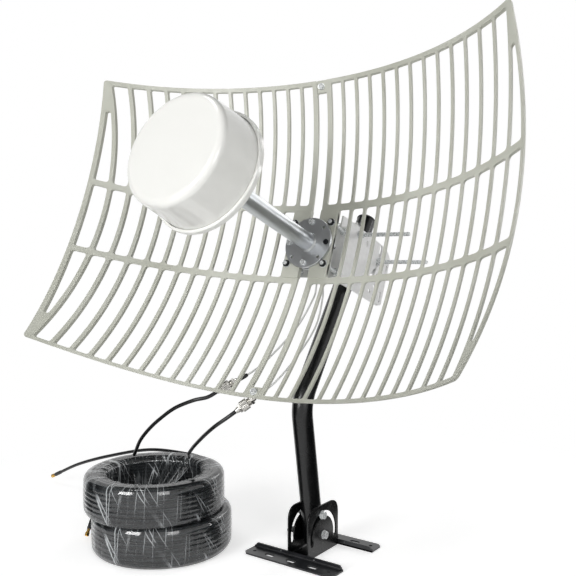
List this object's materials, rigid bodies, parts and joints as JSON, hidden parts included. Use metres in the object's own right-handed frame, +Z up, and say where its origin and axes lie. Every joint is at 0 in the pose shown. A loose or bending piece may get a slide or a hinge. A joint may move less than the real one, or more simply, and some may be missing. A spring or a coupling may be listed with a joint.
{
  "type": "parabolic grid antenna",
  "caption": "Parabolic grid dish in two cast halves with a drum feed on a tube, clamped by an elevation bracket to a cranked mast on a tilting foot, with coiled feeder cables.",
  "frame": {"origin": "middle of the foot's underside, at the centre of its four slotted bolt holes", "axes": "+Z up, -Y the way the dish faces, +X to the right seen from the antenna's front, along the foot bars"},
  "size_m": [1.1811, 0.6426, 0.8947],
  "materials": {
    "black_paint": "satin black powder coat",
    "grey_paint": "satin dark grey powder coat",
    "zinc": "bright zinc plating",
    "galvanised": "matt white zinc",
    "black_steel": "black oxide",
    "reflector_paint": "satin warm grey powder coat over cast aluminium",
    "aluminium": "machined",
    "white_plastic": "gloss white moulding",
    "board": "green board with copper",
    "copper": "copper jacket",
    "black_rubber": "matt black",
    "pale_jacket": "satin pale grey jacket",
    "black_jacket": "satin black jacket",
    "shrink": "matt black heat-shrink sleeve",
    "nickel": "nickel plated",
    "gold": "gold plated"
  },
  "bodies": {
    "foot": {"base_bracket": "black_paint", "foot_bar_front": "grey_paint", "foot_bar_rear": "grey_paint", "pivot_bolt": "zinc", "pivot_washers": "zinc", "pivot_nut": "zinc", "feeder_1": "black_jacket", "feeder_2": "black_jacket", "coil_lower": "black_jacket", "coil_upper": "black_jacket", "tail_lower": "black_jacket", "tail_upper": "black_jacket", "tail_shrink_lower": "shrink", "tail_shrink_upper": "shrink", "sma_lower": "gold", "sma_upper": "gold"},
    "mast_body": {"mast": "black_paint", "mast_cap": "black_rubber", "lock_bolt": "zinc", "lock_washers": "zinc", "lock_nut": "zinc"},
    "clamp": {"jaw_near": "galvanised", "jaw_far": "galvanised", "clamp_bolts": "zinc", "clamp_washers": "zinc", "clamp_nuts": "zinc"},
    "dish": {"dish_bracket": "galvanised", "studs": "black_steel", "stud_nuts": "zinc", "reflector_left": "reflector_paint", "reflector_right": "reflector_paint", "seam_screws": "zinc", "seam_nuts": "zinc", "backing_ring": "aluminium", "feed_tube": "aluminium", "feed_flange": "aluminium", "flange_bolts": "zinc", "flange_socket_screw": "black_steel", "flange_nuts": "zinc", "radome_back": "white_plastic", "radome_cover": "white_plastic", "feed_reflector": "aluminium", "feed_posts": "zinc", "feed_board": "board", "feed_leads": "copper", "tube_grommet": "black_rubber", "pigtail_1": "pale_jacket", "pigtail_2": "pale_jacket", "shrink_1": "shrink", "shrink_2": "shrink", "jack_1": "nickel", "jack_2": "nickel", "plug_1": "nickel", "plug_2": "nickel"}
  },
  "joints": [
    {"name": "mast_tilt", "type": "hinge", "parent": "foot", "child": "mast_body", "pos_m": [0, 0, 0.033], "axis": [-1, 0, 0], "range_deg": [-25, 60], "deforming": ["feeder_1", "feeder_2"]},
    {"name": "azimuth", "type": "hinge", "parent": "mast_body", "child": "clamp", "pos_m": [0, 0.15553, 0.55533], "axis": [0, 0.5736, 0.8192], "range_deg": [-40, 40]},
    {"name": "elevation", "type": "hinge", "parent": "clamp", "child": "dish", "pos_m": [0, 0.11784, 0.58172], "axis": [-1, 0, 0], "range_deg": [-5, 18]}
  ]
}
